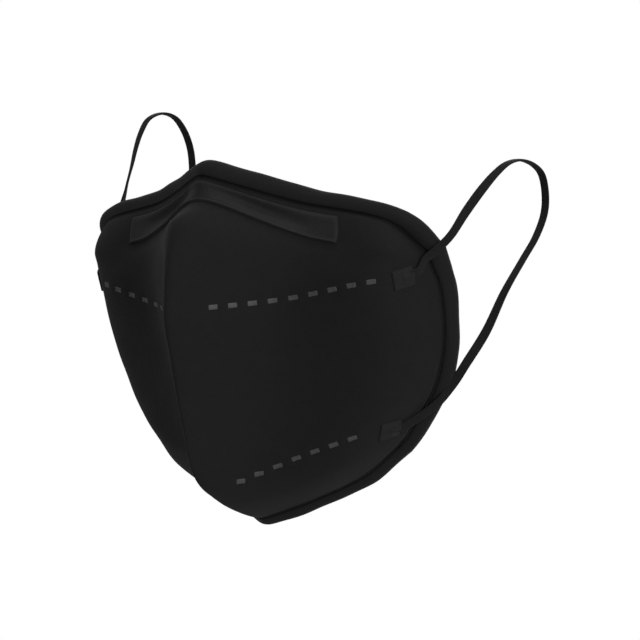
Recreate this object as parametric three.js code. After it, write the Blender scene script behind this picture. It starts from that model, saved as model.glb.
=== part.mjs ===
// A fold-flat respirator mask with ear loops, opened to the shape it has when worn.
// The body is one laminate of non-woven cloth with a vertical fold down the front and a
// welded border round the face opening. A nose strip is bonded over the bridge, and two
// flat elastic ear loops are held at the cheeks under four small welded pads.
//
// Millimetres, +Z up. The front fold points along -Y and the wearer's left is +X.
// The origin is where the border meets the face, in the middle of the face opening.

import * as THREE from 'three';

// ---- driving dimensions ----------------------------------------------------------------

const CLOTH = 1.2; // thickness of the laminate
const GAP = 0.3; // clearance between pieces that touch in the real mask

const SEAT = { back: 52, down: 58 }; // from the top of the nose weld to the origin

const BORDER = {
  width: 8.4, // from the weld groove to the free edge
  bow: 0.5, // how far its middle swells outward
  flareTop: 38, // degrees that it stands away from the face over the nose
  flareLow: -3, // and below the cheeks
  turnsFrom: -34, // heights between which it changes from one to the other
  turnsTo: -8,
};

const STRIP = { halfLength: 42.5, top: 0.26, bottom: 1.06, thickness: 0.9 };

const PAD = { length: 8.6, height: 7, thickness: 1.3 };
// Where their middles are, across and down the panel, and how far their outer ends are
// raised, in degrees.
const UPPER_PAD = { middle: [0.77, 2.85], raised: 20 };
const LOWER_PAD = { middle: [0.83, 6.0], raised: 0 };

const BAND = {
  width: 3.2,
  thickness: 0.9,
  step: 3.2, // between the bends of the mesh
  overCloth: 0.7, // clearance under its ends, which lie across curved cloth
  overBorder: 1.2, // and where it bridges the swell of the border
};

// Seams of one half of the body from the nose (first row) to the chin (last row), measured
// from the top of the nose weld. Each runs from the front fold out to the border weld:
//   soft  - how round the fold is there, as a share of the seam's length
//   fold  - the front fold, on the middle of the mask: how far back and up
//   flank - the hollow beside the fold: how far out, back and up
//   cheek - the fullest place of the panel, where it turns towards the ear
//   weld  - the border weld
const seam = (soft, fold, flank, cheek, weld) => ({ soft, fold, flank, cheek, weld });
const SEAMS = [
  // soft  fold  flank  cheek  weld
  seam(0.03, [0, 0.4], [26, 15.7, -8.2], [58, 28.4, -15.2], [65.2, 40.5, -25]),
  seam(0.06, [-0.3, -8.3], [30, 16.9, -20.9], [60.3, 26, -25.2], [65.7, 43, -29]),
  seam(0.05, [-14.2, -16.3], [27, 13, -27], [59.5, 26, -29.5], [66.2, 45, -32.5]),
  seam(0.02, [-20, -46.5], [24, 10, -42], [58.3, 25.4, -35.5], [66.8, 47.5, -37.5]),
  seam(0.02, [-16, -64], [22, 14, -60.5], [57, 31.3, -56], [65.8, 51.6, -55]),
  seam(0.02, [-10, -84], [17.5, 17, -81], [50.5, 35.8, -77], [59, 55.7, -72]),
  seam(0.03, [-2, -102.6], [11.5, 19.5, -99.8], [41.5, 35.2, -88.5], [52, 54.7, -83.5]),
  seam(0.04, [13, -110.6], [15, 30, -106.1], [35.5, 37.2, -97.1], [48, 55.2, -88.5]),
  seam(0.05, [36, -117], [15.5, 44.6, -110.5], [34.2, 50.5, -101.5], [44.6, 54.5, -92.5]),
];

// The free part of each ear loop, from the border's upper corner round behind the ear and
// down to the border again: how far out, back and up each place is. The left loop spreads a
// little outward behind the cheek and the right one leans a little inward. spread is the
// way that the band's width lies where it goes round the ear.
const LEFT_EAR = {
  spread: [0.99, -0.12, 0],
  route: [
    [70.8, 46.6, -20.4],
    [70.9, 55.7, -12.2],
    [71.8, 64.7, -4.1],
    [72.6, 71.9, 1.4],
    [73.3, 77.4, 4.4],
    [74.1, 83.9, 5.4],
    [74.9, 90.5, 3.7],
    [75.3, 94.5, 0.7],
    [75.6, 96.3, -5.4],
    [75.5, 96.0, -12.2],
    [75.0, 91.8, -20.3],
    [74.2, 84.7, -28.5],
    [73.0, 75.6, -39.3],
    [70.0, 68.8, -52.9],
    [66.0, 62.7, -63.7],
  ],
};
const RIGHT_EAR = {
  spread: [0.98, 0.2, 0],
  route: [
    [70.6, 46.6, -20.4],
    [67.9, 48.9, -13.0],
    [65.6, 48.9, -6.0],
    [65.2, 49.8, -1.4],
    [64.8, 51.5, 4.1],
    [64.5, 53.1, 9.5],
    [64.1, 55.4, 14.9],
    [63.3, 58.8, 19.8],
    [62.0, 64.9, 21.9],
    [60.8, 70.8, 20.6],
    [60.0, 75.2, 16.3],
    [59.4, 77.9, 10.8],
    [59.2, 79.0, 5.4],
    [59.6, 79.5, -3.0],
    [61.0, 78.2, -14.0],
    [63.0, 75.2, -28.0],
    [65.0, 71.4, -42.0],
    [66.0, 67.0, -54.0],
    [65.8, 63.2, -63.0],
  ],
};

// ---- the surface of one half -----------------------------------------------------------

const point = ([out, back, up]) => new THREE.Vector3(out, back, up);
const smooth = (points) => new THREE.CatmullRomCurve3(points, false, 'centripetal');
const last = SEAMS.length - 1;

const seamCurves = SEAMS.map(({ fold, flank, cheek, weld }) =>
  smooth([new THREE.Vector3(0, ...fold), point(flank), point(cheek), point(weld)]));

// A place on one seam: across is 0 on the fold and 1 on the border weld.
function onSeam(row, across) {
  const round = SEAMS[row].soft;
  const eased = (Math.hypot(across, round) - round) / (Math.hypot(1, round) - round);
  const spot = seamCurves[row].getPoint(eased);
  spot.x = seamCurves[row].getPoint(across).x;
  return spot;
}

// A place on the panel: down is 0 on the first seam and counts the seams to the chin.
function onPanel(across, down) {
  const column = smooth(SEAMS.map((_, row) => onSeam(row, across)));
  return column.getPoint(THREE.MathUtils.clamp(down / last, 0, 1));
}

function panelNormal(across, down) {
  const step = 0.004;
  const outer = onPanel(Math.min(across + step, 1), down);
  const inner = onPanel(Math.max(across - step, 0), down);
  const lower = onPanel(across, Math.min(down + step * last, last));
  const upper = onPanel(across, Math.max(down - step * last, 0));
  const normal = lower.sub(upper).cross(outer.sub(inner)).normalize();
  if (across <= step) normal.setX(0).normalize();
  return normal;
}

// How far the panel moves for each unit across and for each unit down.
function slopes([across, down]) {
  const step = 0.01;
  const perAcross = onPanel(across + step, down).sub(onPanel(across - step, down));
  const perDown = onPanel(across, down + step).sub(onPanel(across, down - step));
  return { perAcross: perAcross.divideScalar(2 * step), perDown: perDown.divideScalar(2 * step) };
}

// The place on the panel nearest to a point, starting from a place near it.
function nearest(start, target) {
  let [across, down] = start;
  for (let turn = 0; turn < 8; turn += 1) {
    const { perAcross: a, perDown: d } = slopes([across, down]);
    const rest = target.clone().sub(onPanel(across, down));
    const spread = a.dot(a) * d.dot(d) - a.dot(d) ** 2;
    across += (rest.dot(a) * d.dot(d) - rest.dot(d) * a.dot(d)) / spread;
    down += (rest.dot(d) * a.dot(a) - rest.dot(a) * a.dot(d)) / spread;
  }
  return [across, down];
}

// The border leaves the weld backward, flaring away from the face over the nose.
function borderDirection(weld) {
  const turn = THREE.MathUtils.smoothstep(weld.z, BORDER.turnsFrom, BORDER.turnsTo);
  const degrees = THREE.MathUtils.lerp(BORDER.flareLow, BORDER.flareTop, turn);
  const flare = THREE.MathUtils.degToRad(degrees);
  const away = new THREE.Vector3(weld.x, 0, weld.z + SEAT.down).normalize();
  return away.multiplyScalar(Math.sin(flare)).add(new THREE.Vector3(0, Math.cos(flare), 0));
}

function onBorder(weld, share) {
  const along = borderDirection(weld);
  const away = new THREE.Vector3(weld.x, 0, weld.z + SEAT.down).normalize();
  return weld.clone()
    .addScaledVector(along, BORDER.width * share)
    .addScaledVector(away, BORDER.bow * Math.sin(Math.PI * share));
}

// ---- meshes from grids -----------------------------------------------------------------

function geometryOf(points, triangles) {
  const geometry = new THREE.BufferGeometry();
  const places = new THREE.Float32BufferAttribute(points.flatMap((p) => p.toArray()), 3);
  geometry.setAttribute('position', places);
  geometry.setIndex(triangles);
  geometry.computeVertexNormals();
  return geometry;
}

// Gives a sheet of quads thickness: its points pushed out by low and by high along their
// normals are its two faces, and its free edge is closed all round.
function thicken(points, quads, low, high) {
  const sheet = quads.flatMap(([a, b, c, d]) => [a, b, c, a, c, d]);
  const shape = geometryOf(points, sheet);
  const normals = shape.getAttribute('normal');
  const shifted = (distance) => points.map((p, i) =>
    p.clone().addScaledVector(new THREE.Vector3().fromBufferAttribute(normals, i), distance));
  const count = points.length;
  const triangles = [...sheet];
  for (let i = 0; i < sheet.length; i += 3) {
    triangles.push(sheet[i] + count, sheet[i + 2] + count, sheet[i + 1] + count);
  }
  const edgesOf = ([a, b, c, d]) => [`${a},${b}`, `${b},${c}`, `${c},${d}`, `${d},${a}`];
  const uses = new Set(quads.flatMap(edgesOf));
  for (const edge of uses) {
    const [a, b] = edge.split(',').map(Number);
    if (!uses.has(`${b},${a}`)) triangles.push(a, a + count, b + count, a, b + count, b);
  }
  return geometryOf([...shifted(high), ...shifted(low)], triangles);
}

// A patch that lies on the panel. place gives the place across and down of each of its
// columns and rows, and whole carries it over the fold to the other half.
function patchOnPanel({ place, columns, rows, thickness, whole = false }) {
  const points = [];
  const quads = [];
  const first = whole ? -columns : 0;
  const width = columns - first + 1;
  for (let r = 0; r <= rows; r += 1) {
    for (let c = first; c <= columns; c += 1) {
      const [across, down] = place(Math.abs(c) / columns, r / rows);
      const spot = onPanel(across, down).addScaledVector(panelNormal(across, down), GAP);
      if (c < 0) spot.x = -spot.x;
      points.push(spot);
    }
  }
  for (let r = 0; r < rows; r += 1) {
    for (let c = 0; c < width - 1; c += 1) {
      const corner = r * width + c;
      quads.push([corner, corner + width, corner + width + 1, corner + 1]);
    }
  }
  return thicken(points, quads, 0, thickness);
}

// ---- pieces ----------------------------------------------------------------------------

// The body: both panels as one grid over the fold, then the border along its whole edge.
function bodyGeometry() {
  const columns = 16;
  const rowsPerSeam = 4;
  const rows = last * rowsPerSeam;
  const width = 2 * columns + 1;
  const points = [];
  const quads = [];
  const at = (r, c) => r * width + c;
  for (let r = 0; r <= rows; r += 1) {
    for (let c = -columns; c <= columns; c += 1) {
      const spot = onPanel(Math.abs(c) / columns, r / rowsPerSeam);
      if (c < 0) spot.x = -spot.x;
      points.push(spot);
    }
  }
  for (let r = 0; r < rows; r += 1) {
    for (let c = 0; c < width - 1; c += 1) {
      quads.push([at(r, c), at(r + 1, c), at(r + 1, c + 1), at(r, c + 1)]);
    }
  }
  const edge = [];
  for (let c = 0; c < width - 1; c += 1) edge.push(at(0, c));
  for (let r = 0; r < rows; r += 1) edge.push(at(r, width - 1));
  for (let c = width - 1; c > 0; c -= 1) edge.push(at(rows, c));
  for (let r = rows; r > 0; r -= 1) edge.push(at(r, 0));
  const steps = 3;
  let inner = edge;
  for (let k = 1; k <= steps; k += 1) {
    const outer = edge.map((weld) => points.push(onBorder(points[weld], k / steps)) - 1);
    inner.forEach((corner, i) => {
      const next = (i + 1) % inner.length;
      quads.push([corner, inner[next], outer[next], outer[i]]);
    });
    inner = outer;
  }
  return thicken(points, quads, -CLOTH, 0);
}

// Where the seam at this height is this far from the middle.
function acrossAt(out, down) {
  let [near, far] = [0, 1];
  for (let i = 0; i < 24; i += 1) {
    const middle = (near + far) / 2;
    if (onPanel(middle, down).x < out) near = middle;
    else far = middle;
  }
  return near;
}

function stripGeometry() {
  const { halfLength, top, bottom, thickness } = STRIP;
  const ends = [acrossAt(halfLength, top), acrossAt(halfLength, bottom)];
  const place = (share, fall) => [
    THREE.MathUtils.lerp(ends[0], ends[1], fall) * share,
    THREE.MathUtils.lerp(top, bottom, fall),
  ];
  return patchOnPanel({ place, columns: 16, rows: 4, thickness, whole: true });
}

// A pad's length runs along the seam that it sits on, with its outer end raised by an angle,
// and its height is square to that in the cloth.
function padGeometry({ middle, raised }) {
  const { perAcross, perDown } = slopes(middle);
  const level = perAcross.normalize();
  const plumb = perDown.addScaledVector(level, -perDown.dot(level)).normalize();
  const angle = THREE.MathUtils.degToRad(raised);
  const lengthwise = level.clone().multiplyScalar(Math.cos(angle))
    .addScaledVector(plumb, -Math.sin(angle));
  const upright = plumb.clone().multiplyScalar(Math.cos(angle))
    .addScaledVector(level, Math.sin(angle));
  const centre = onPanel(...middle);
  const place = (share, fall) => nearest(middle, centre.clone()
    .addScaledVector(lengthwise, (share - 0.5) * PAD.length)
    .addScaledVector(upright, (fall - 0.5) * PAD.height));
  return patchOnPanel({ place, columns: 4, rows: 4, thickness: PAD.thickness });
}

// A flat elastic band along a route. facing gives the direction of its width at each share
// of the way along.
function bandGeometry(curve, facing) {
  const steps = Math.round(curve.getLength() / BAND.step);
  const points = [];
  const triangles = [];
  for (let i = 0; i <= steps; i += 1) {
    const share = i / steps;
    const centre = curve.getPointAt(share);
    const along = curve.getTangentAt(share);
    const wide = facing(share).addScaledVector(along, -facing(share).dot(along)).normalize();
    const thick = new THREE.Vector3().crossVectors(along, wide);
    for (const [w, t] of [[-1, -1], [1, -1], [1, 1], [-1, 1]]) {
      points.push(centre.clone()
        .addScaledVector(wide, (w * BAND.width) / 2)
        .addScaledVector(thick, (t * BAND.thickness) / 2));
    }
  }
  for (let i = 0; i < steps; i += 1) {
    for (let side = 0; side < 4; side += 1) {
      const a = 4 * i + side;
      const b = 4 * i + ((side + 1) % 4);
      triangles.push(a, b, b + 4, a, b + 4, a + 4);
    }
  }
  const end = 4 * steps;
  triangles.push(0, 2, 1, 0, 3, 2, end, end + 1, end + 2, end, end + 2, end + 3);
  return geometryOf(points, triangles);
}

// The band starts just behind the upper pad, lies over the border, runs free round the ear
// and comes back over the border to the lower pad. It is flat on the cheek at both ends and
// turns its width sideways where it goes round the ear.
function loopGeometry({ spread, route }) {
  const half = BAND.thickness / 2;
  const overCloth = (across, down) =>
    onPanel(across, down).addScaledVector(panelNormal(across, down), half + BAND.overCloth);
  const overBorder = (down, share) => {
    const weld = onPanel(1, down);
    const reach = 0.1;
    const fall = onPanel(1, down + reach).sub(onPanel(1, Math.max(down - reach, 0)));
    const outward = fall.cross(borderDirection(weld)).normalize();
    return onBorder(weld, share).addScaledVector(outward, half + BAND.overBorder);
  };
  const whole = [
    overCloth(0.856, 2.28),
    overCloth(0.93, 1.1),
    overBorder(0, 0.4),
    ...route.map(point),
    overBorder(4.9, 0.6),
    overBorder(5.35, 0.12),
    overCloth(0.905, 5.93),
  ];
  const flat = new THREE.Vector3(0, 0.7, -0.7);
  const facing = (share) => {
    const turned = THREE.MathUtils.smoothstep(Math.min(share, 1 - share), 0.04, 0.4);
    return point(spread).multiplyScalar(turned).addScaledVector(flat, 1 - turned);
  };
  return bandGeometry(smooth(whole), facing);
}

// The same piece for the wearer's other side.
function mirrored(geometry) {
  const copy = geometry.clone();
  copy.scale(-1, 1, 1);
  const index = copy.getIndex().array;
  for (let i = 0; i < index.length; i += 3) {
    [index[i + 1], index[i + 2]] = [index[i + 2], index[i + 1]];
  }
  copy.computeVertexNormals();
  return copy;
}

// ---- the mask --------------------------------------------------------------------------

const cloth = new THREE.MeshStandardMaterial({ color: 0x1b1b1c, roughness: 0.92, metalness: 0 });
const stripCloth = new THREE.MeshStandardMaterial({ color: 0x252526, roughness: 0.7, metalness: 0 });
const padCloth = new THREE.MeshStandardMaterial({ color: 0x28282a, roughness: 0.75, metalness: 0 });
const elastic = new THREE.MeshStandardMaterial({ color: 0x19191a, roughness: 0.88, metalness: 0 });

const mask = new THREE.Group();
mask.position.set(0, -SEAT.back, SEAT.down);

function add(name, geometry, material) {
  const mesh = new THREE.Mesh(geometry, material);
  mesh.name = name;
  mask.add(mesh);
}

add('mask_body', bodyGeometry(), cloth);
add('nose_strip', stripGeometry(), stripCloth);
const upperPad = padGeometry(UPPER_PAD);
const lowerPad = padGeometry(LOWER_PAD);
add('weld_pad_upper_left', upperPad, padCloth);
add('weld_pad_upper_right', mirrored(upperPad), padCloth);
add('weld_pad_lower_left', lowerPad, padCloth);
add('weld_pad_lower_right', mirrored(lowerPad), padCloth);
add('ear_loop_left', loopGeometry(LEFT_EAR), elastic);
add('ear_loop_right', mirrored(loopGeometry(RIGHT_EAR)), elastic);

const object = new THREE.Group();
object.name = 'respirator_mask';
object.add(mask);
export default object;
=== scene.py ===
import math

import bpy
import numpy as np
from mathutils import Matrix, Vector
from mathutils.kdtree import KDTree


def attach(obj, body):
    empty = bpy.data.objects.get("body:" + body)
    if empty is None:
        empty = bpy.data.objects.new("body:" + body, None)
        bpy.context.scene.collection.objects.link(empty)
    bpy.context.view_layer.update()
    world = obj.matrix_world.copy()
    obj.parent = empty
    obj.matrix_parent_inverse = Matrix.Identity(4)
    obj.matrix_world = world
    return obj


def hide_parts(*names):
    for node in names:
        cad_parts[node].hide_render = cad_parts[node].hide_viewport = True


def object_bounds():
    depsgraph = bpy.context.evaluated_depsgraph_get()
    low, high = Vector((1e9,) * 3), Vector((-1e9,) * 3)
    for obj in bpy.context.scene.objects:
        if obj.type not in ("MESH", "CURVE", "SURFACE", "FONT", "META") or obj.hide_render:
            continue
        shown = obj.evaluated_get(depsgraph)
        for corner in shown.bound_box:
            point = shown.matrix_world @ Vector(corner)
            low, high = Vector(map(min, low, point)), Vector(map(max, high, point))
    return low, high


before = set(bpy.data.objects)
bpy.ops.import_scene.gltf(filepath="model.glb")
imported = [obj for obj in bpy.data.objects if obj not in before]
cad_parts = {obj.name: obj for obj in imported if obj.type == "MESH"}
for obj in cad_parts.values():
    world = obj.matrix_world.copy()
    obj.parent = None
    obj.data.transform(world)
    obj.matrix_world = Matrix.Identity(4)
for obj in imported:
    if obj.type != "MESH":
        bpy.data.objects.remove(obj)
cad_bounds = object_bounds()

# ---- camera ----------------------------------------------------------------------------
# A long lens level with the mask, turned from its front towards the wearer's left. The
# middle of the view is a little right of the fold and just above the mouth.

VIEW_TURN = math.radians(35)
VIEW_RIGHT = Vector((math.cos(VIEW_TURN), math.sin(VIEW_TURN), 0))
VIEW_AHEAD = Vector((-math.sin(VIEW_TURN), math.cos(VIEW_TURN), 0))
VIEW_MIDDLE = VIEW_RIGHT * 0.0109 - VIEW_AHEAD * 0.015 + Vector((0, 0, 0.0092))
VIEW_AWAY = 6.0
VIEW_WIDTH = 0.217

camera = bpy.data.objects.new("camera", bpy.data.cameras.new("camera"))
camera.data.sensor_width = 36
camera.data.lens = camera.data.sensor_width * VIEW_AWAY / VIEW_WIDTH
camera.data.clip_end = 20
camera.location = VIEW_MIDDLE - VIEW_AHEAD * VIEW_AWAY
camera.rotation_mode = "QUATERNION"
camera.rotation_quaternion = VIEW_AHEAD.to_track_quat("-Z", "Y")
bpy.context.scene.collection.objects.link(camera)
bpy.context.scene.camera = camera

# ---- mask body -------------------------------------------------------------------------
# The body is one laminate of black non-woven cloth, folded down the middle of the front.
# A hot wheel fuses its layers in a narrow groove all round. Outside the groove the layers
# stay loose and puff up into a soft border, which seals on the face.

MM = 0.001
SEAT = np.array([0, -52, 58])  # the origin, seen from the top of the nose weld
SEAMS = [
    # soft, fold (back, up), flank, cheek and weld (out, back, up), from nose to chin
    (0.03, (0, 0.4), (26, 15.7, -8.2), (58, 28.4, -15.2), (65.2, 40.5, -25)),
    (0.06, (-0.3, -8.3), (30, 16.9, -20.9), (60.3, 26, -25.2), (65.7, 43, -29)),
    (0.05, (-14.2, -16.3), (27, 13, -27), (59.5, 26, -29.5), (66.2, 45, -32.5)),
    (0.02, (-20, -46.5), (24, 10, -42), (58.3, 25.4, -35.5), (66.8, 47.5, -37.5)),
    (0.02, (-16, -64), (22, 14, -60.5), (57, 31.3, -56), (65.8, 51.6, -55)),
    (0.02, (-10, -84), (17.5, 17, -81), (50.5, 35.8, -77), (59, 55.7, -72)),
    (0.03, (-2, -102.6), (11.5, 19.5, -99.8), (41.5, 35.2, -88.5), (52, 54.7, -83.5)),
    (0.04, (13, -110.6), (15, 30, -106.1), (35.5, 37.2, -97.1), (48, 55.2, -88.5)),
    (0.05, (36, -117), (15.5, 44.6, -110.5), (34.2, 50.5, -101.5), (44.6, 54.5, -92.5)),
]
LAST = len(SEAMS) - 1


def spline(knots, share):
    """Points along a centripetal Catmull-Rom curve. knots is (count, 1 or places, 3)."""
    count = len(knots)
    place = np.clip(share, 0, 1) * (count - 1)
    start = np.minimum(place.astype(int), count - 2)
    part = (place - start)[:, None]
    knots = np.broadcast_to(knots, (count, len(share), 3))
    before = 2 * knots[:1] - knots[1:2]
    after = 2 * knots[-1:] - knots[-2:-1]
    chain = np.concatenate([before, knots, after])
    a, b, c, d = (chain[start + k, np.arange(len(share))] for k in range(4))
    ab, bc, cd = (
        np.sqrt(np.maximum(np.linalg.norm(q - p, axis=1), 1e-9))[:, None]
        for p, q in ((a, b), (b, c), (c, d))
    )
    leave = ((b - a) / ab - (c - a) / (ab + bc) + (c - b) / bc) * bc
    arrive = ((c - b) / bc - (d - b) / (bc + cd) + (d - c) / cd) * bc
    bend = -3 * b + 3 * c - 2 * leave - arrive
    turn = 2 * b - 2 * c + leave + arrive
    return b + leave * part + bend * part**2 + turn * part**3


def on_panel(across, down):
    """Where a place on the left panel is, in metres. across is 0 on the fold and 1 on the
    weld, and down counts the seams from the nose."""
    across, down = np.broadcast_arrays(np.asarray(across, float), down)
    rows = []
    for soft, fold, flank, cheek, weld in SEAMS:
        knots = np.array([(0, *fold), flank, cheek, weld], float)[:, None, :]
        eased = (np.hypot(across, soft) - soft) / (np.hypot(1, soft) - soft)
        row = spline(knots, eased)
        row[:, 0] = spline(knots, across)[:, 0]
        rows.append(row)
    return (spline(np.stack(rows), down / LAST) + SEAT) * MM


def unit(vectors):
    return vectors / np.maximum(np.linalg.norm(vectors, axis=-1, keepdims=True), 1e-12)


def panel_slopes(across, down):
    """How the left panel runs for each unit across and for each unit down."""
    step = 0.004
    near, far = np.maximum(across - step, 0), np.minimum(across + step, 1)
    high, low = np.maximum(down - step, 0), np.minimum(down + step, LAST)
    side = (on_panel(far, down) - on_panel(near, down)) / (far - near)[:, None]
    fall = (on_panel(across, low) - on_panel(across, high)) / (low - high)[:, None]
    return side, fall


def panel_normal(across, down):
    side, fall = panel_slopes(across, down)
    normal = np.cross(fall, side)
    normal[across < 0.002, 0] = 0
    return unit(normal)


# The weld marks, where small hot teeth fuse the layers: the nearest, a middle and the
# outermost place of each row on the panel.
MARK_ROWS = {
    "upper_left": {"across": (0.155, 0.393, 0.623), "down": (2.99, 3.01, 3.0), "count": 9},
    "upper_right": {"across": (0.17, 0.405, 0.615), "down": (3.12, 3.11, 3.05), "count": 8},
    "lower_left": {"across": (0.23, 0.457, 0.638), "down": (6.21, 5.94, 5.93), "count": 7},
    "lower_right": {"across": (0.08, 0.28, 0.45), "down": (6.5, 6.26, 6.24), "count": 7},
}


def mark_middles(row):
    """Even steps along the seam, from the mark nearest the fold to the outermost."""
    knots = np.array([row["across"], row["down"], (0, 0, 0)], float).T[:, None, :]
    across, down, _ = spline(knots, np.linspace(0, 1, 300)).T
    steps = np.linalg.norm(np.diff(on_panel(across, down), axis=0), axis=1)
    reach = np.concatenate([[0], np.cumsum(steps)])
    even = np.linspace(0, reach[-1], row["count"])
    return np.interp(even, reach, across), np.interp(even, reach, down)


mark_points = {
    side: np.concatenate([on_panel(*mark_middles(r)) for n, r in MARK_ROWS.items() if side in n])
    for side in ("left", "right")
}

# The edge of the left panel, from the fold over the nose round to the fold at the chin.
edge_across = np.concatenate([np.linspace(0, 1, 200), np.ones(300), np.linspace(1, 0, 150)])
edge_down = np.concatenate([np.zeros(200), np.linspace(0, LAST, 300), np.full(150, LAST)])
edge_points = on_panel(edge_across, edge_down)
edge_tree = KDTree(len(edge_points))
for i, place in enumerate(edge_points):
    edge_tree.insert(place, i)
edge_tree.balance()


def from_edge(points):
    return np.array([edge_tree.find(p)[2] for p in points])


def bell(distance, width):
    return np.exp(-((distance / width) ** 2))


GROOVE = {"depth": 0.9 * MM, "width": 1.35 * MM, "shoulder": 0.6 * MM, "reach": 5 * MM}
DIMPLE = {"depth": 0.34 * MM, "width": 2.3 * MM}


# Bending the nose wire hollows the cloth along the middle of each of its arms.
TROUGH = {"depth": 2.3 * MM, "width": 2.3 * MM, "across": (0.05, 0.38), "down": (0.50, 0.62)}
trough_points = on_panel(np.linspace(*TROUGH["across"], 60), np.linspace(*TROUGH["down"], 60))
trough_depths = TROUGH["depth"] * np.sin(np.linspace(0.12, math.pi, 60)) ** 0.8


# The wearer's right panel falls in a little just behind the fold.
CAVE = {"depth": 1.6 * MM, "behind": 10.5 * MM, "width": 6.5 * MM, "starts": (38, 20)}


def smoothstep(value, low, high):
    share = np.clip((value - low) / (high - low), 0, 1)
    return share * share * (3 - 2 * share)


def hollows(points, side):
    apart = np.linalg.norm(points[:, None] - trough_points[None], axis=2)
    depth = (trough_depths * bell(apart, TROUGH["width"])).max(axis=1)
    if side == "right":
        lower = smoothstep(points[:, 2] / MM, *CAVE["starts"])
        depth += CAVE["depth"] * lower * bell(points[:, 0] - CAVE["behind"], CAVE["width"])
    return -depth


def relief(points, side="left"):
    """How far the cloth stands out from the panel's plain surface: the weld groove and the
    roll of cloth beside it, a dimple at each weld mark, and the slack of the cloth."""
    off = from_edge(points)
    groove = -GROOVE["depth"] * bell(off, GROOVE["width"])
    roll = -GROOVE["shoulder"] * bell(off, GROOVE["reach"])
    nearest = np.linalg.norm(points[:, None] - mark_points[side][None], axis=2).min(axis=1)
    dimple = -DIMPLE["depth"] * bell(nearest, DIMPLE["width"])
    x, y, z = (points / MM).T
    slack = (
        0.16 * np.sin(0.11 * z + 0.09 * x + 0.6)
        + 0.10 * np.sin(0.21 * x - 0.13 * z + 0.05 * y + 2.1)
        + 0.05 * np.sin(0.37 * z + 0.31 * x + 4.0)
    )
    return groove + roll + dimple + hollows(points, side) + slack * MM * (1 - bell(off, 9 * MM))


def on_cloth(across, down, lift, side="left"):
    """A place on a panel's finished surface, lifted off it, and drawn on the left side."""
    across, down = np.broadcast_arrays(np.asarray(across, float), np.asarray(down, float))
    points = on_panel(across, down)
    return points + panel_normal(across, down) * (relief(points, side) + lift)[:, None]


BORDER = {
    "width": 8.9 * MM,
    "swell": 1.6 * MM,  # half of its thickness in the middle
    "fused": 0.2 * MM,  # and at the groove
    "sunk": 1.0 * MM,  # how deep its middle layer lies under the outer face
    "bow": 1.0 * MM,  # how far its middle bows away from the face
    "fullest": 0.45,
    "flare_top": math.radians(34),
    "flare_low": math.radians(-3),
    "turns": (-46, -9),
}
CLOTH = 1.2 * MM


def border_axes(weld, runs):
    """The border's own directions: out along its width, and out of its face."""
    from_nose = weld / MM - SEAT
    turned = smoothstep(from_nose[:, 2], *BORDER["turns"])
    flare = BORDER["flare_low"] + (BORDER["flare_top"] - BORDER["flare_low"]) * turned
    away = unit(weld * np.array([1, 0, 1]))
    along = away * np.sin(flare)[:, None] + np.array([0, 1, 0]) * np.cos(flare)[:, None]
    outward = unit(np.cross(runs, along))
    outward *= np.sign((outward * away).sum(axis=1))[:, None]
    return along, outward


def closer_at_ends(count, pull):
    """Shares from 0 to 1 that lie closer together at both ends."""
    even = np.linspace(0, 1, count + 1)
    return even - pull * np.sin(2 * np.pi * even) / (2 * np.pi)


def mirror_of(table):
    """Factors that carry the points of a grid's negative places over to the right."""
    factors = np.ones((table.size, 3))
    factors[table.ravel() < 0, 0] = -1
    return factors


def pulled_open(points):
    """The wearer's right cheek has been pulled a little wider than the left."""
    points = points.copy()
    apart = np.linalg.norm(points - PULL["middle"], axis=1)
    points[:, 0] -= PULL["by"] * bell(apart, PULL["reach"])
    return points


PULL = {"middle": np.array([-62, -16, 39]) * MM, "by": 2.2 * MM, "reach": 15 * MM}
COLUMNS, ROWS, RINGS = 96, 160, 14
fold_to_weld = closer_at_ends(COLUMNS, 0.5)
right_to_left = np.concatenate([-fold_to_weld[:0:-1], fold_to_weld])
grid_across, grid_down = np.meshgrid(right_to_left, closer_at_ends(ROWS, 0.5) * LAST)
across, down = np.abs(grid_across).ravel(), grid_down.ravel()
mirror = mirror_of(grid_across)
flat_points = on_panel(across, down)
normals = panel_normal(across, down)
edge_gap = from_edge(flat_points)
on_left = grid_across.ravel() >= 0
lift = np.where(on_left, relief(flat_points), relief(flat_points, "right"))
outer = flat_points + normals * lift[:, None]
sunk = np.where(on_left, hollows(flat_points, "left"), hollows(flat_points, "right"))
fused = bell(edge_gap, 2.2 * MM)
inner = flat_points + normals * (sunk - CLOTH + 0.25 * MM * fused)[:, None]
inner[:, 0] = np.maximum(inner[:, 0], 0.02 * MM * (across > 0))
outer *= mirror
inner *= mirror

WIDTH = len(right_to_left)
number = np.arange(WIDTH * (ROWS + 1)).reshape(ROWS + 1, WIDTH)
loop = np.concatenate([number[0, :-1], number[:-1, -1], number[-1, :0:-1], number[:0:-1, 0]])
weld = (flat_points * mirror)[loop]
runs = unit(np.roll(weld, -1, axis=0) - np.roll(weld, 1, axis=0))
along, outward = border_axes(weld, runs)
travelled = np.cumsum(np.linalg.norm(np.roll(weld, -1, axis=0) - weld, axis=1)) / MM
waver = 0.14 * np.sin(travelled / 4.1) + 0.10 * np.sin(travelled / 2.3 + 1.0)

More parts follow.
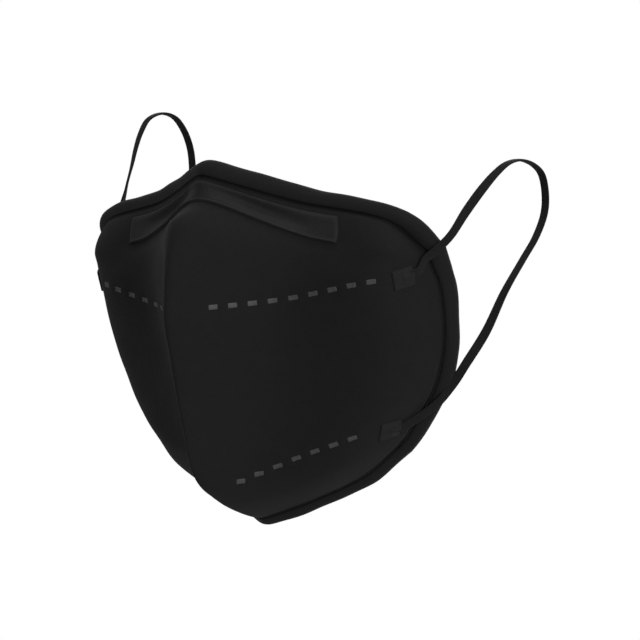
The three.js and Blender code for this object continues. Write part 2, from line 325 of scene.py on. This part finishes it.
rings_out, rings_in = [], []
shares = closer_at_ends(RINGS, 0.62)[1:]
for share in shares:
    if share < BORDER["fullest"]:
        rise = smoothstep(share, -0.05, BORDER["fullest"])
        half = BORDER["fused"] + (BORDER["swell"] - BORDER["fused"]) * rise
    else:
        rest = (share - BORDER["fullest"]) / (1 - BORDER["fullest"])
        half = BORDER["swell"] * (1 - rest**2.6) ** (1 / 2.2)
    sway = (waver * MM * math.sin(math.pi * share * 0.7))[:, None]
    bow = BORDER["bow"] * math.sin(math.pi * share)
    middle = weld + along * BORDER["width"] * share + outward * (bow - BORDER["sunk"])
    rings_out.append(middle + outward * (half + sway))
    rings_in.append(middle + outward * (sway - half))

grid = number.size
ring = len(loop)
points = pulled_open(np.concatenate([outer, *rings_out, inner, *rings_in[:-1]]))
inner_start = grid + RINGS * ring
out_loops = [loop] + [grid + k * ring + np.arange(ring) for k in range(RINGS)]
in_loops = [inner_start + loop]
in_loops += [inner_start + grid + k * ring + np.arange(ring) for k in range(RINGS - 1)]
in_loops += [out_loops[-1]]


def grid_quads(table):
    """Quads of a table of vertex numbers, seen from the side where rows run down and
    columns run to the right."""
    upper, lower = table[:-1], table[1:]
    corners = [upper[:, :-1], lower[:, :-1], lower[:, 1:], upper[:, 1:]]
    return np.stack(corners, -1).reshape(-1, 4)


def between(ring_a, ring_b):
    """Quads that join two closed rings of vertex numbers."""
    return np.stack([ring_a, np.roll(ring_a, -1), np.roll(ring_b, -1), ring_b], -1)


quads = [grid_quads(number)]
quads += [between(a, b) for a, b in zip(out_loops, out_loops[1:])]
quads += [grid_quads(number)[:, ::-1] + inner_start]
quads += [between(a, b)[:, ::-1] for a, b in zip(in_loops, in_loops[1:])]


def make_piece(name, points, quads, lay, fused=None, caps=()):
    """A smooth mesh object. lay is where each point lies in the flat cloth, in metres, fused
    is how far its fibres have melted, which on the body's weld groove is also painted shade,
    and caps are faces with more than four corners."""
    mesh = bpy.data.meshes.new(name)
    mesh.from_pydata(points.tolist(), [], quads.tolist() + list(caps))
    corners = np.zeros(len(mesh.loops), np.int32)
    mesh.loops.foreach_get("vertex_index", corners)
    layer = mesh.uv_layers.new(name="lay")
    layer.data.foreach_set("uv", lay.astype(np.float32)[corners].ravel())
    if fused is not None:
        layer = mesh.attributes.new("fused", "FLOAT", "POINT")
        layer.data.foreach_set("value", fused.astype(np.float32))
    mesh.polygons.foreach_set("use_smooth", np.ones(len(mesh.polygons), bool))
    mesh.update()
    piece = bpy.data.objects.new(name, mesh)
    bpy.context.scene.collection.objects.link(piece)
    return piece


# Where each point lies in the flat cloth: along the seam, and down the panel. The border
# lies in a strip of its own, below the panels.
BORDER_LAY = 0.2


def lengths(table, axis):
    steps = np.linalg.norm(np.diff(table, axis=axis), axis=2)
    pad = [(0, 0), (0, 0)]
    pad[axis] = (1, 0)
    return np.pad(np.cumsum(steps, axis=axis), pad)


table = (flat_points * mirror).reshape(ROWS + 1, WIDTH, 3)
along_seam = lengths(table, 1)
along_seam -= along_seam[:, COLUMNS : COLUMNS + 1]
down_panel = np.repeat(lengths(table[:, COLUMNS : COLUMNS + 1], 0), WIDTH, axis=1)
cloth_lay = np.stack([along_seam, down_panel], -1).reshape(-1, 2)
edge_lay = [
    np.stack([travelled * MM, np.full(ring, BORDER_LAY + BORDER["width"] * s)], -1) for s in shares
]
body_lay = np.concatenate([cloth_lay, *edge_lay, cloth_lay, *edge_lay[:-1]])

# The fused value along the weld groove darkens the cloth there. This is partly the melted film's own
# colour and partly painted shade in the groove.
ring_film_and_groove_shade = [np.full(ring, bell(BORDER["width"] * s, 0.9 * MM)) for s in shares]
panel_film_and_groove_shade = bell(edge_gap, 1.1 * MM)
body_film_and_groove_shade = np.concatenate([panel_film_and_groove_shade, *ring_film_and_groove_shade, panel_film_and_groove_shade, *ring_film_and_groove_shade[:-1]])
body = make_piece("respirator_body", points, np.concatenate(quads), body_lay, body_film_and_groove_shade)


# Non-woven cloth: a mat of fine filaments that lie every way, bonded in rows of small
# pressed points. The same cloth makes the body, the nose strip's cover and the pads.
def node_group(name, inputs, outputs):
    """An empty shader node group. An input without a default is a vector."""
    group = bpy.data.node_groups.new(name, "ShaderNodeTree")
    for socket, default in inputs.items():
        kind = "NodeSocketVector" if default is None else "NodeSocketFloat"
        made = group.interface.new_socket(socket, in_out="INPUT", socket_type=kind)
        if default is not None:
            made.default_value = default
    for socket in outputs:
        group.interface.new_socket(socket, in_out="OUTPUT", socket_type="NodeSocketFloat")
    return group


def adder(tree):
    """A function that adds a node to a tree and links or sets its inputs, which are given by
    name, or by number as i0, i1 and so on."""

    def add(kind, settings=None, **inputs):
        node = tree.nodes.new(kind)
        for key, value in (settings or {}).items():
            setattr(node, key, value)
        for key, value in inputs.items():
            place = int(key[1:]) if key[1:].isdigit() else key.replace("_", " ")
            socket = node.inputs[place]
            if isinstance(value, bpy.types.NodeSocket):
                tree.links.new(value, socket)
            else:
                socket.default_value = value
        return node

    return add


def maths(add, operation, *values):
    inputs = {f"i{n}": value for n, value in enumerate(values)}
    return add("ShaderNodeMath", {"operation": operation}, **inputs).outputs[0]


def remap(add, value, low, high, to_low=0.0, to_high=1.0):
    node = add("ShaderNodeMapRange", {"interpolation_type": "SMOOTHSTEP"}, Value=value)
    limits = {"From Min": low, "From Max": high, "To Min": to_low, "To Max": to_high}
    for key, limit in limits.items():
        node.inputs[key].default_value = limit
    return node.outputs[0]


def noise(add, place, scale, detail=2.0):
    settings = {"noise_dimensions": "2D"}
    return add("ShaderNodeTexNoise", settings, Vector=place, Scale=scale, Detail=detail).outputs["Fac"]


def rotated(add, place, angle):
    settings = {"rotation_type": "Z_AXIS"}
    return add("ShaderNodeVectorRotate", settings, Vector=place, Angle=angle).outputs[0]


nonwoven = node_group(
    "Non-woven cloth",
    {"Lay": None, "Fibre Width": 0.00012, "Bond Pitch": 0.0011},
    ["Height", "Tone", "Bonds"],
)
add = adder(nonwoven)
given = add("NodeGroupInput").outputs
result = nonwoven.nodes.new("NodeGroupOutput")
fibre_scale = maths(add, "DIVIDE", 0.12, given["Fibre Width"])
mats = []
for turn, seed in ((0.3, 0.0), (1.35, 3.7), (2.4, 8.1)):
    turned = rotated(add, given["Lay"], turn)
    moved = add("ShaderNodeVectorMath", {"operation": "MULTIPLY_ADD"}, i0=turned)
    moved.inputs[1].default_value = (1, 0.07, 1)
    moved.inputs[2].default_value = (seed, seed, 0)
    mats.append(remap(add, noise(add, moved.outputs[0], fibre_scale), 0.38, 0.66))
mat = maths(add, "MAXIMUM", maths(add, "MAXIMUM", mats[0], mats[1]), mats[2])
bond_scale = maths(add, "DIVIDE", 1.0, given["Bond Pitch"])
slanted = rotated(add, given["Lay"], 0.6)
bond = add("ShaderNodeTexVoronoi", {"voronoi_dimensions": "2D"}, Vector=slanted, Scale=bond_scale)
bond.inputs["Randomness"].default_value = 0.12
bonds = remap(add, bond.outputs["Distance"], 0.34, 0.2)
half_mat = maths(add, "MULTIPLY", mat, 0.5)
half_cloud = maths(add, "MULTIPLY", noise(add, given["Lay"], 170.0, 3.0), 0.5)
sunk_bonds = maths(add, "MULTIPLY", bonds, 0.8)
nonwoven.links.new(maths(add, "SUBTRACT", mat, sunk_bonds), result.inputs["Height"])
nonwoven.links.new(maths(add, "ADD", half_mat, half_cloud), result.inputs["Tone"])
nonwoven.links.new(bonds, result.inputs["Bonds"])


def new_material(name, **settings):
    """A material, a function that adds its nodes, and its shader with plain settings."""
    material = bpy.data.materials.new(name)
    material.use_nodes = True
    add = adder(material.node_tree)
    shader = material.node_tree.nodes["Principled BSDF"]
    for key, value in settings.items():
        shader.inputs[key.replace("_", " ")].default_value = value
    return material, add, shader


def mix_colour(add, share, low, high):
    node = add("ShaderNodeMix", {"data_type": "RGBA"})
    node.inputs[6].default_value = (*low, 1)
    node.inputs[7].default_value = (*high, 1)
    node.id_data.links.new(share, node.inputs[0])
    return node.outputs[2]


def nonwoven_material(name, dark, light, rough, bump, fibre=0.00012, pitch=0.0009):
    """Cloth of one colour. Where the point value fused is 1 its fibres have melted into a
    smooth, darker film, whose dark colour also serves as painted shade in the body's weld
    groove."""
    material, add, shader = new_material(
        name, Sheen_Weight=0.04, Sheen_Roughness=0.5, Specular_IOR_Level=0.15
    )
    lay = add("ShaderNodeUVMap", {"uv_map": "lay"})
    cloth = add("ShaderNodeGroup", {"node_tree": nonwoven}, Lay=lay.outputs[0])
    cloth.inputs["Fibre Width"].default_value = fibre
    cloth.inputs["Bond Pitch"].default_value = pitch
    film = add("ShaderNodeAttribute", {"attribute_name": "fused"}).outputs["Fac"]
    plain = mix_colour(add, cloth.outputs["Tone"], dark, light)
    # The film colour is 0.12 of the cloth's dark tone. It is partly the melted film's own colour and
    # partly painted shade in the weld groove.
    melted = add("ShaderNodeMix", {"data_type": "RGBA"})
    melted.inputs[7].default_value = (*(c * 0.12 for c in dark), 1)
    links = material.node_tree.links
    links.new(film, melted.inputs[0])
    links.new(plain, melted.inputs[6])
    links.new(melted.outputs[2], shader.inputs["Base Color"])
    loose = maths(add, "SUBTRACT", 1.0, film)
    bonded = maths(add, "MULTIPLY", cloth.outputs["Bonds"], -0.08)
    links.new(
        maths(add, "ADD", maths(add, "MULTIPLY", film, -0.1), maths(add, "ADD", bonded, rough)),
        shader.inputs["Roughness"],
    )
    raised = add("ShaderNodeBump", Height=maths(add, "MULTIPLY", cloth.outputs["Height"], loose))
    raised.inputs["Strength"].default_value = bump
    raised.inputs["Distance"].default_value = 0.00012
    links.new(raised.outputs[0], shader.inputs["Normal"])
    return material


body_cloth = nonwoven_material(
    "black non-woven cloth", (0.0112, 0.0112, 0.0115), (0.0136, 0.0136, 0.014), rough=0.82, bump=0.3
)
body.data.materials.append(body_cloth)
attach(body, "root")
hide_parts("mask_body")


# ---- weld marks ------------------------------------------------------------------------
# Two rows of short marks cross each panel, where the teeth of a welding wheel press the
# layers into one. The melted cloth is smoother and greyer, with the teeth's fine knurl.

MARK = {"length": 3.3 * MM, "height": 1.75 * MM, "corner": 0.35 * MM, "proud": 0.10 * MM}
KNURL = {"height": 0.025 * MM, "pitch": 0.8}


def from_middle(middle, offsets, turn=0.0):
    """Places on the panel at offsets, in metres along and square to the seam, from a
    middle. turn lifts the outer end, in radians."""
    a, d = (np.array([v], float) for v in middle)
    side, fall = (v[0] for v in panel_slopes(a, d))
    lengthwise = unit(side)
    upright = unit(fall - lengthwise * (fall @ lengthwise))
    lengthwise, upright = (
        lengthwise * math.cos(turn) - upright * math.sin(turn),
        upright * math.cos(turn) + lengthwise * math.sin(turn),
    )
    target = on_panel(a, d)[0] + offsets[:, :1] * lengthwise + offsets[:, 1:] * upright
    a, d = np.full(len(offsets), middle[0]), np.full(len(offsets), middle[1])
    for _ in range(6):
        side, fall = panel_slopes(a, d)
        rest = target - on_panel(a, d)
        ss, ff, sf = (side * side).sum(1), (fall * fall).sum(1), (side * fall).sum(1)
        rs, rf = (rest * side).sum(1), (rest * fall).sum(1)
        a = a + (rs * ff - rf * sf) / (ss * ff - sf**2)
        d = d + (rf * ss - rs * sf) / (ss * ff - sf**2)
    return np.clip(a, 0, 1), np.clip(d, 0, LAST)


def rounded_patch(columns, rows, length, height, corner):
    """Offsets of a patch's grid, with rounded corners, and how far each point lies in from
    the rim."""
    u, v = np.meshgrid(closer_at_ends(columns, 0.5) * 2 - 1, closer_at_ends(rows, 0.5) * 2 - 1)
    half_u, half_v = length / 2, height / 2
    cut_u, cut_v = 1 - corner / half_u, 1 - corner / half_v
    over_u = np.clip((abs(u) - cut_u) / (1 - cut_u), 0, 1)
    over_v = np.clip((abs(v) - cut_v) / (1 - cut_v), 0, 1)
    in_corner = (over_u > 0) & (over_v > 0)
    drawn_in = np.maximum(over_u, over_v) / np.maximum(np.hypot(over_u, over_v), 1e-9)
    shrink = np.where(in_corner, drawn_in, 1)
    u = np.where(over_u > 0, np.sign(u) * (cut_u + over_u * shrink * (1 - cut_u)), u)
    v = np.where(over_v > 0, np.sign(v) * (cut_v + over_v * shrink * (1 - cut_v)), v)
    rim = np.minimum((1 - abs(u)) * half_u, (1 - abs(v)) * half_v)
    return np.stack([u * half_u, v * half_v], -1).reshape(-1, 2), rim.ravel()


def closed_patch(columns, rows):
    """Quads of a patch with an outer grid, an under grid and its rim."""
    width = columns + 1
    table = np.arange(width * (rows + 1)).reshape(rows + 1, width)
    rim = np.concatenate([table[0, :-1], table[:-1, -1], table[-1, :0:-1], table[:0:-1, 0]])
    under = table.size
    face = grid_quads(table)
    return np.concatenate([face, face[:, ::-1] + under, between(rim, rim + under)])


def both_sides(points):
    """The same points for the wearer's left, and mirrored for the right."""
    return {"left": points, "right": pulled_open(points * np.array([-1, 1, 1]))}


def turned_over(quads, side):
    return quads if side == "left" else quads[:, ::-1]


mark_grey, add, shader = new_material("melted weld mark", Specular_IOR_Level=0.5)
lay = add("ShaderNodeUVMap", {"uv_map": "lay"})
speck = noise(add, lay.outputs[0], 1500.0)
grey = mix_colour(add, speck, (0.040, 0.040, 0.041), (0.072, 0.072, 0.073))
links = mark_grey.node_tree.links
links.new(grey, shader.inputs["Base Color"])
links.new(remap(add, speck, 0.3, 0.7, 0.42, 0.6), shader.inputs["Roughness"])

MARK_GRID = (14, 8)
for row_name, row in MARK_ROWS.items():
    side = row_name.split("_")[1]
    patches, lays = [], []
    for middle in zip(*mark_middles(row)):
        offsets, rim = rounded_patch(*MARK_GRID, MARK["length"], MARK["height"], MARK["corner"])
        places = from_middle(middle, offsets)
        waves = np.cos(offsets / MM * 2 * np.pi / KNURL["pitch"])
        knurl = KNURL["height"] * waves[:, 0] * waves[:, 1]
        lift = MARK["proud"] * smoothstep(rim, -0.05 * MM, 0.3 * MM) + knurl
        top = on_cloth(*places, lift, side)
        under = on_cloth(*places, np.full(len(rim), -0.15 * MM), side)
        patches.append(np.concatenate([top, under]))
        lays.append(np.tile(offsets + [middle[0], 0], (2, 1)))
    size = len(patches[0])
    pattern = closed_patch(*MARK_GRID)
    mark_quads = np.concatenate([pattern + k * size for k in range(len(patches))])
    marks = make_piece(
        f"weld_marks_{row_name}",
        both_sides(np.concatenate(patches))[side],
        turned_over(mark_quads, side),
        np.concatenate(lays),
    )
    marks.data.materials.append(mark_grey)
    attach(marks, "root")


# ---- nose strip ------------------------------------------------------------------------
# A flat soft wire lies under a strip of the same cloth, bonded along both edges just below
# the groove. Fingers have bent it over the nose, which hollows the middle of each arm and
# leaves its lower edge standing as a thin rim.

STRIP = {
    "half": 42.5 * MM,  # from the fold to the end of an arm
    "height": 9.0 * MM,
    "top": 0.24,
    "bottom": 1.06,
}
STRIP_LAY = 0.3


def across_at(out, down):
    near, far = 0.0, 1.0
    for _ in range(24):
        middle = (near + far) / 2
        if on_panel(np.array([middle]), np.array([down]))[0, 0] < out:
            near = middle
        else:
            far = middle
    return near


STRIP_COLUMNS, STRIP_ROWS = 90, 26
ends = [across_at(STRIP["half"], STRIP["top"]), across_at(STRIP["half"], STRIP["bottom"])]
share_row = np.linspace(-1, 1, 2 * STRIP_COLUMNS + 1)
share_grid, fall_grid = np.meshgrid(share_row, closer_at_ends(STRIP_ROWS, 0.4))
share, fall = np.abs(share_grid).ravel(), fall_grid.ravel()
strip_across = (ends[0] + (ends[1] - ends[0]) * fall) * share
strip_down = STRIP["top"] + (STRIP["bottom"] - STRIP["top"]) * fall
to_rim = np.minimum(np.minimum(fall, 1 - fall) * STRIP["height"], (1 - share) * STRIP["half"])
base = 0.7 * MM * smoothstep(to_rim, -0.1 * MM, 0.8 * MM)
low_rim = 0.40 * MM * bell(fall - 0.93, 0.06) * smoothstep(share, 0.02, 0.15)
high_ridge = 0.22 * MM * bell(fall - 0.16, 0.12) * smoothstep(share, 0.1, 0.3)
crease = -0.22 * MM * bell(fall - 0.82, 0.05) * bell(share - 0.25, 0.25)
strip_lift = base + low_rim + high_ridge + crease
strip_mirror = mirror_of(share_grid)
strip_top = on_cloth(strip_across, strip_down, strip_lift) * strip_mirror
strip_under = on_cloth(strip_across, strip_down, np.full(share.size, -0.35 * MM)) * strip_mirror
strip_lay = np.stack([STRIP["half"] * share_grid.ravel(), STRIP_LAY + STRIP["height"] * fall], -1)
strip = make_piece(
    "nose_strip_cover",
    np.concatenate([strip_top, strip_under]),
    closed_patch(2 * STRIP_COLUMNS, STRIP_ROWS),
    np.tile(strip_lay, (2, 1)),
    np.tile(0.3 * bell(to_rim, 0.5 * MM), 2),
)
strip_cloth = nonwoven_material(
    "pressed strip cloth", (0.0195, 0.0195, 0.0199), (0.0235, 0.0235, 0.024), rough=0.7, bump=0.35
)
strip.data.materials.append(strip_cloth)
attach(strip, "root")
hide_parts("nose_strip")


# ---- weld pads -------------------------------------------------------------------------
# A small tab of cloth covers each end of each ear loop. Tab, band and body are welded in
# one stroke, which flattens the tab's rim and presses a grid of dots into its middle.

PAD = {"length": 8.6 * MM, "height": 7.0 * MM, "corner": 0.9 * MM, "thickness": 0.65 * MM}
PADS = {
    "upper": {"middle": (0.77, 2.85), "turn": math.radians(22)},
    "lower": {"middle": (0.835, 6.02), "turn": math.radians(2)},
}
PAD_GRID = (44, 36)
pad_cloth = nonwoven_material(
    "pad cloth", (0.0145, 0.0145, 0.0149), (0.0205, 0.0205, 0.021), rough=0.72, bump=0.35
)
for level, pad in PADS.items():
    offsets, rim = rounded_patch(*PAD_GRID, PAD["length"], PAD["height"], PAD["corner"])
    places = from_middle(pad["middle"], offsets, pad["turn"])
    u, v = (offsets / MM).T
    flat_rim = smoothstep(rim, -0.1 * MM, 0.45 * MM)
    dots = bell((u + 0.6 + 0.8) % 1.6 - 0.8, 0.42) * bell((v + 0.8) % 1.6 - 0.8, 0.42)
    pressed = smoothstep(rim, 1.0 * MM, 1.5 * MM)
    over_band = 0.6 * MM * bell(v, 1.7) * smoothstep(u, -1.5, 1.5)
    lift = PAD["thickness"] * flat_rim + over_band - 0.07 * MM * dots * pressed
    top = on_cloth(*places, lift)
    under = on_cloth(*places, np.full(len(rim), -0.3 * MM))
    for side, side_points in both_sides(np.concatenate([top, under])).items():
        tab = make_piece(
            f"pad_{level}_{side}",
            side_points,
            turned_over(closed_patch(*PAD_GRID), side),
            np.tile(offsets + 0.5, (2, 1)),
            np.tile(0.15 * dots * pressed, 2),
        )
        tab.data.materials.append(pad_cloth)
        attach(tab, "root")
        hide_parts(f"weld_pad_{level}_{side}")


# ---- ear loops -------------------------------------------------------------------------
# Each loop is a flat knitted elastic, cut to length. It starts under the upper pad, lies
# over the border, runs free round the ear and comes back under the lower pad.

BAND = {"width": 3.2 * MM, "thickness": 0.9 * MM, "over_cloth": 0.35 * MM, "over_border": 1.1 * MM}
LEFT_EAR = {
    "spread": (0.99, -0.12, 0),
    "route": [
        (70.8, 46.6, -20.4),
        (70.9, 55.7, -12.2),
        (71.8, 64.7, -4.1),
        (72.6, 71.9, 1.4),
        (73.3, 77.4, 4.4),
        (74.1, 83.9, 5.4),
        (74.9, 90.5, 3.7),
        (75.3, 94.5, 0.7),
        (75.6, 96.3, -5.4),
        (75.5, 96.0, -12.2),
        (75.0, 91.8, -20.3),
        (74.2, 84.7, -28.5),
        (73.0, 75.6, -39.3),
        (70.0, 68.8, -52.9),
        (66.0, 62.7, -63.7),
    ],
}
RIGHT_EAR = {
    "spread": (0.98, 0.2, 0),
    "route": [
        (70.6, 46.6, -20.4),
        (67.9, 48.9, -13.0),
        (65.6, 48.9, -6.0),
        (65.2, 49.8, -1.4),
        (64.8, 51.5, 4.1),
        (64.5, 53.1, 9.5),
        (64.1, 55.4, 14.9),
        (63.3, 58.8, 19.8),
        (62.0, 64.9, 21.9),
        (60.8, 70.8, 20.6),
        (60.0, 75.2, 16.3),
        (59.4, 77.9, 10.8),
        (59.2, 79.0, 5.4),
        (59.6, 79.5, -3.0),
        (61.0, 78.2, -14.0),
        (63.0, 75.2, -28.0),
        (65.0, 71.4, -42.0),
        (66.0, 67.0, -54.0),
        (65.8, 63.2, -63.0),
    ],
}


def over_cloth(across, down, extra=0.0):
    lift = BAND["thickness"] / 2 + BAND["over_cloth"] + extra
    return on_cloth([across], [down], np.array([lift]))


def over_border(down, share):
    one = np.ones(1)
    weld = on_panel(one, one * down)
    reach = 0.1
    runs = unit(on_panel(one, one * (down + reach)) - on_panel(one, one * max(down - reach, 0)))
    along, outward = border_axes(weld, runs)
    swell = 0.5 * MM * math.sin(math.pi * share)
    lift = BAND["thickness"] / 2 + BAND["over_border"] + swell
    return weld + along * BORDER["width"] * share + outward * lift


def band_route(route):
    free = (np.array(route) + SEAT) * MM
    knots = np.concatenate([
        over_cloth(0.79, 2.72, -0.5 * MM),
        over_cloth(0.856, 2.28),
        over_cloth(0.93, 1.1, 0.35 * MM),
        over_border(0, 0.4),
        free,
        over_border(4.9, 0.6),
        over_border(5.35, 0.12),
        over_cloth(0.905, 5.93, 0.1 * MM),
        over_cloth(0.85, 6.01, -0.5 * MM),
    ])
    fine = spline(knots[:, None, :], np.linspace(0, 1, 3000))
    reach = np.concatenate([[0], np.cumsum(np.linalg.norm(np.diff(fine, axis=0), axis=1))])
    even = np.linspace(0, reach[-1], round(reach[-1] / (0.75 * MM)) + 1)
    return np.stack([np.interp(even, reach, fine[:, k]) for k in range(3)], -1), reach[-1]


def band_section():
    """The band's cross-section: a flat oval with a row of knitted ribs on each face."""
    turn = np.linspace(0, 2 * np.pi, 44, endpoint=False)
    wide = np.sign(np.cos(turn)) * abs(np.cos(turn)) ** 0.75
    thick = np.sign(np.sin(turn)) * abs(np.sin(turn)) ** 0.55
    ribs = 1 - 0.13 * (0.5 - 0.5 * np.cos(wide * 5.5 * np.pi)) * abs(thick)
    return wide * BAND["width"] / 2, thick * ribs * BAND["thickness"] / 2


def band_tube(spread, route):
    """A tube of rings along a route, drawn on the wearer's left, and its middle line."""
    centres, length = band_route(route)
    ahead = unit(np.gradient(centres, axis=0))
    share = np.linspace(0, 1, len(centres))
    turned = smoothstep(np.minimum(share, 1 - share), 0.04, 0.4)[:, None]
    facing = np.array([0, 0.7, -0.7]) * (1 - turned) + np.array(spread) * turned
    wide = unit(facing - ahead * (facing * ahead).sum(1)[:, None])
    thick = np.cross(ahead, wide)
    section_wide, section_thick = band_section()
    count = len(section_wide)
    rings = centres[:, None] + wide[:, None] * section_wide[:, None]
    rings = rings + thick[:, None] * section_thick[:, None]
    table = np.arange(rings.shape[0] * count).reshape(-1, count)
    joined = np.concatenate([table, table[:, :1]], axis=1)
    sides = grid_quads(joined.T)
    caps = [table[0].tolist(), table[-1][::-1].tolist()]
    lay = np.stack(np.broadcast_arrays(section_wide[None], (share * length)[:, None]), -1)
    return rings.reshape(-1, 3), sides, caps, lay.reshape(-1, 2), centres, length


knit = node_group(
    "Knitted elastic", {"Lay": None, "Wale": 0.00058, "Course": 0.0007}, ["Height", "Tone"]
)
add = adder(knit)
given = add("NodeGroupInput").outputs
result = knit.nodes.new("NodeGroupOutput")
split = add("ShaderNodeSeparateXYZ", Vector=given["Lay"])
column = maths(add, "DIVIDE", split.outputs["X"], given["Wale"])
lean = maths(add, "ABSOLUTE", maths(add, "SUBTRACT", maths(add, "FRACT", column), 0.5))
level = maths(add, "DIVIDE", split.outputs["Y"], given["Course"])
course = maths(add, "ADD", level, maths(add, "MULTIPLY", lean, 1.1))
stitch = maths(add, "SINE", maths(add, "MULTIPLY", course, 2 * math.pi))
valley = remap(add, lean, 0.5, 0.28)
raised_stitch = maths(add, "ADD", maths(add, "MULTIPLY", stitch, 0.35), 0.65)
height = maths(add, "MULTIPLY", valley, raised_stitch)
fuzz = noise(add, given["Lay"], 2600.0)
fuzzy_height = maths(add, "ADD", height, maths(add, "MULTIPLY", fuzz, 0.3))
knit.links.new(fuzzy_height, result.inputs["Height"])
# The tone follows the stitch height, so the valleys between wales and stitches come out darker: painted
# shade, varied by a random fuzz.
knit.links.new(maths(add, "MULTIPLY", height, maths(add, "ADD", fuzz, 0.4)), result.inputs["Tone"])

elastic, add, shader = new_material(
    "black knitted elastic", Sheen_Weight=0.06, Sheen_Roughness=0.45, Specular_IOR_Level=0.2
)
lay = add("ShaderNodeUVMap", {"uv_map": "lay"})
stitches = add("ShaderNodeGroup", {"node_tree": knit}, Lay=lay.outputs[0])
links = elastic.node_tree.links
# Painted shade: the yarn colour is darker in the knit's valleys.
yarn_with_painted_shade = mix_colour(add, stitches.outputs["Tone"], (0.006, 0.006, 0.006), (0.016, 0.016, 0.0163))
links.new(yarn_with_painted_shade, shader.inputs["Base Color"])
links.new(remap(add, stitches.outputs["Tone"], 0.0, 1.0, 0.9, 0.72), shader.inputs["Roughness"])
raised = add("ShaderNodeBump", Height=stitches.outputs["Height"])
raised.inputs["Strength"].default_value = 0.7
raised.inputs["Distance"].default_value = 0.00015
links.new(raised.outputs[0], shader.inputs["Normal"])

for side, ear in (("left", LEFT_EAR), ("right", RIGHT_EAR)):
    points, sides, caps, lay, centres, length = band_tube(ear["spread"], ear["route"])
    if side == "right":
        points = pulled_open(points * np.array([-1, 1, 1]))
        centres = pulled_open(centres * np.array([-1, 1, 1]))
        sides = sides[:, ::-1]
        caps = [cap[::-1] for cap in caps]
    band = make_piece(f"ear_band_{side}", points, sides, lay, caps=caps)
    band.data.materials.append(elastic)
    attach(band, "root")
    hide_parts(f"ear_loop_{side}")


# ---- floor and light -------------------------------------------------------------------
# A pale floor well below the mask and a white room, lit by four soft lamps. The room and the
# floor look whiter to the camera than the light that they throw on the black cloth.

ROOM_LIGHT = 0.15
FLOOR = {"below": 0.25, "half": 2.6, "glow": 0.85}
floor_corners = ((-1, -1), (1, -1), (1, 1), (-1, 1))
floor_level = cad_bounds[0].z - FLOOR["below"]
floor_points = [(x * FLOOR["half"], y * FLOOR["half"], floor_level) for x, y in floor_corners]
floor_mesh = bpy.data.meshes.new("floor")
floor_mesh.from_pydata(floor_points, [], [(0, 1, 2, 3)])
floor = bpy.data.objects.new("floor", floor_mesh)
bpy.context.scene.collection.objects.link(floor)
white, add, shader = new_material("white floor", Roughness=0.8)
shader.inputs["Base Color"].default_value = (0.5, 0.5, 0.5, 1)
shader.inputs["Emission Color"].default_value = (1, 1, 1, 1)
seen = add("ShaderNodeLightPath").outputs["Is Camera Ray"]
white.node_tree.links.new(maths(add, "MULTIPLY", seen, FLOOR["glow"]), shader.inputs["Emission Strength"])
floor.data.materials.append(white)

world = bpy.data.worlds.new("white room")
world.use_nodes = True
room = world.node_tree.nodes["Background"]
room.inputs["Color"].default_value = (1, 1, 1, 1)
seen = world.node_tree.nodes.new("ShaderNodeLightPath")
strength = world.node_tree.nodes.new("ShaderNodeMapRange")
strength.inputs["To Min"].default_value = ROOM_LIGHT
strength.inputs["To Max"].default_value = 1.0
world.node_tree.links.new(seen.outputs["Is Camera Ray"], strength.inputs["Value"])
world.node_tree.links.new(strength.outputs[0], room.inputs["Strength"])
bpy.context.scene.world = world
bpy.context.scene.view_settings.view_transform = "Standard"


def soft_lamp(name, right, up, towards, size, power):
    """A square lamp that shines on the mask, placed by the camera's own directions."""
    lamp = bpy.data.objects.new(name, bpy.data.lights.new(name, "AREA"))
    lamp.data.size = size
    lamp.data.energy = power
    lamp.location = VIEW_RIGHT * right + Vector((0, 0, up)) - VIEW_AHEAD * towards
    lamp.rotation_mode = "QUATERNION"
    lamp.rotation_quaternion = (-lamp.location).to_track_quat("-Z", "Y")
    bpy.context.scene.collection.objects.link(lamp)


soft_lamp("key lamp", right=0.75, up=0.4, towards=1.2, size=0.9, power=11)
soft_lamp("top lamp", right=-0.15, up=1.7, towards=0.1, size=0.9, power=8)
soft_lamp("back lamp", right=0.3, up=0.4, towards=-1.4, size=1.2, power=14)
soft_lamp("side lamp", right=-1.2, up=0.4, towards=-0.6, size=0.9, power=2)
